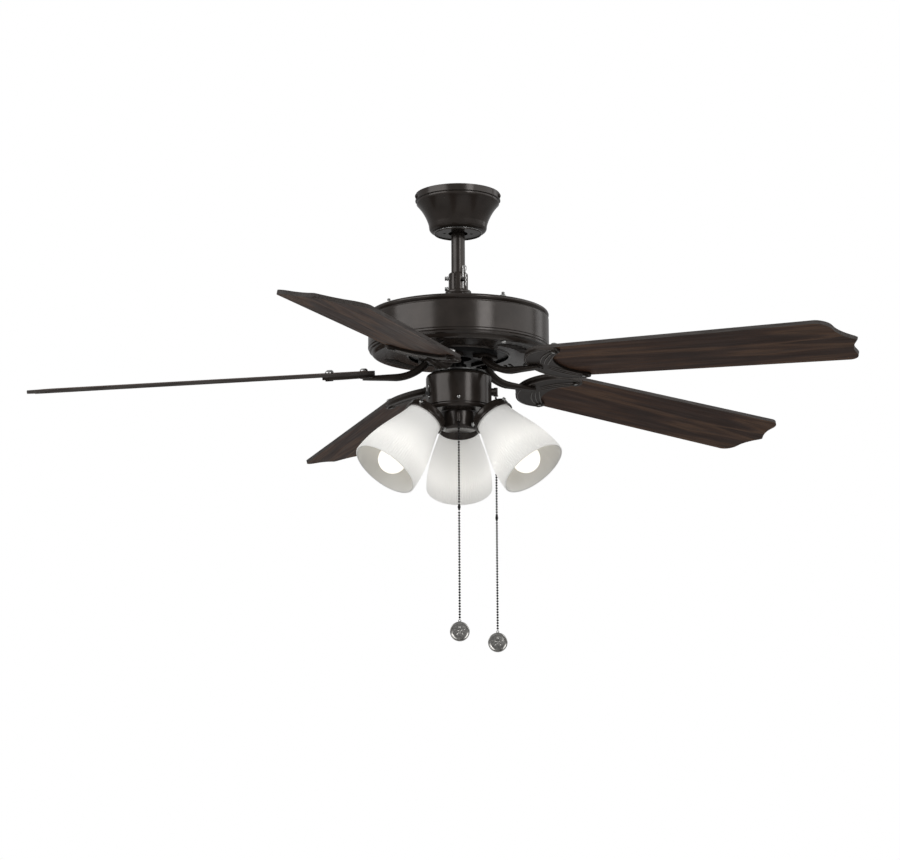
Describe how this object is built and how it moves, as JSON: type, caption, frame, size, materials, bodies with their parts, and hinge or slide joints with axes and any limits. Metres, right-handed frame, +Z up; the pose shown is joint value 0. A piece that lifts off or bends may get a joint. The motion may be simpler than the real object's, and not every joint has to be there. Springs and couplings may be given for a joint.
{
  "type": "ceiling fan with light",
  "caption": "Downrod ceiling fan with pitched wood blades on bronze irons, a drum motor housing, a pull-chain switch housing and a light kit of tilted ribbed-glass bell shades.",
  "frame": {"origin": "centre of the hanger bracket's top face, on the ceiling, on the fan's axis", "axes": "+Z up into the ceiling; +Y away from the front of the light kit, along the third shade's arm; +X to the right seen from the front"},
  "size_m": [1.2197, 1.2561, 0.7117],
  "materials": {
    "bronze": "satin oil-rubbed bronze",
    "walnut": "satin dark walnut veneer",
    "steel": "bright zinc plate",
    "dark_steel": "dark antique nickel",
    "zinc_steel": "zinc-plated sheet",
    "cast_alloy": "as cast",
    "laminations": "stacked sheet steel",
    "copper": "enamelled copper wire",
    "black_plastic": "matt",
    "shade_glass": "frosted, finely ribbed",
    "lamp_glass": "soft white",
    "pewter": "antique pewter"
  },
  "bodies": {
    "ceiling_mount": {"hanger_bracket": "zinc_steel", "canopy": "bronze", "canopy_ring": "bronze", "canopy_screws": "bronze"},
    "fan_frame": {"hanger_ball": "black_plastic", "ball_pin": "steel", "downrod": "bronze", "yoke": "bronze", "clevis_pin": "dark_steel", "hairpin_clip": "steel", "yoke_screws": "steel", "motor_cover": "bronze", "motor_band": "bronze", "motor_pan": "bronze", "housing_bolts": "steel", "motor_shaft": "dark_steel", "stator_core": "laminations", "stator_windings": "copper", "housing_plate": "zinc_steel", "shaft_nut": "zinc_steel", "switch_housing": "bronze", "speed_switch": "black_plastic", "capacitor": "black_plastic", "reverse_switch": "black_plastic", "reverse_screws": "steel", "chain_outlets": "bronze", "light_pan": "bronze", "light_pan_screws": "steel", "light_drum": "bronze", "light_switch": "black_plastic", "galleries": "bronze", "lamp_sockets": "black_plastic", "bulbs": "lamp_glass", "thumbscrews": "steel", "shade_1": "shade_glass", "shade_2": "shade_glass", "shade_3": "shade_glass"},
    "rotor": {"rotor_cover": "cast_alloy", "rotor_base": "cast_alloy", "bearings": "steel", "flywheel": "black_plastic", "iron_screws": "bronze", "blade_screws": "steel", "blade_iron_1": "bronze", "blade_iron_2": "bronze", "blade_iron_3": "bronze", "blade_iron_4": "bronze", "blade_iron_5": "bronze", "blade_1": "walnut", "blade_2": "walnut", "blade_3": "walnut", "blade_4": "walnut", "blade_5": "walnut"},
    "reverse_slider": {"reverse_slider": "black_plastic"},
    "fan_pull": {"fan_pull_stem": "dark_steel"},
    "fan_pull_chain": {"fan_chain": "dark_steel", "fan_fob": "pewter"},
    "light_pull": {"light_pull_stem": "dark_steel"},
    "light_pull_chain": {"light_chain": "dark_steel", "light_fob": "pewter"}
  },
  "joints": [
    {"name": "fan_swing", "type": "hinge", "parent": "ceiling_mount", "child": "fan_frame", "pos_m": [0, 0, -0.0255], "axis": [1, 0, 0], "range_deg": [-3, 3]},
    {"name": "rotor_spin", "type": "hinge", "parent": "fan_frame", "child": "rotor", "pos_m": [0, 0, -0.23], "axis": [0, 0, 1], "continuous": true},
    {"name": "reverse_slide", "type": "slide", "parent": "fan_frame", "child": "reverse_slider", "axis": [0, 0, 1], "range_m": [0, 0.005]},
    {"name": "fan_pull_slide", "type": "slide", "parent": "fan_frame", "child": "fan_pull", "axis": [0, 0, -1], "range_m": [0, 0.01], "stiffness_N_per_m": 600, "springref_m": -0.005},
    {"name": "fan_chain_swing", "type": "hinge", "parent": "fan_pull", "child": "fan_pull_chain", "pos_m": [0.05699, 0.01527, -0.3187], "axis": [0, 1, 0], "range_deg": [-6, 6]},
    {"name": "light_pull_slide", "type": "slide", "parent": "fan_frame", "child": "light_pull", "axis": [0, 0, -1], "range_m": [0, 0.01], "stiffness_N_per_m": 600, "springref_m": -0.005},
    {"name": "light_chain_swing", "type": "hinge", "parent": "light_pull", "child": "light_pull_chain", "pos_m": [-0.00042, -0.034, -0.3667], "axis": [1, 0, 0], "range_deg": [-6, 6]}
  ]
}
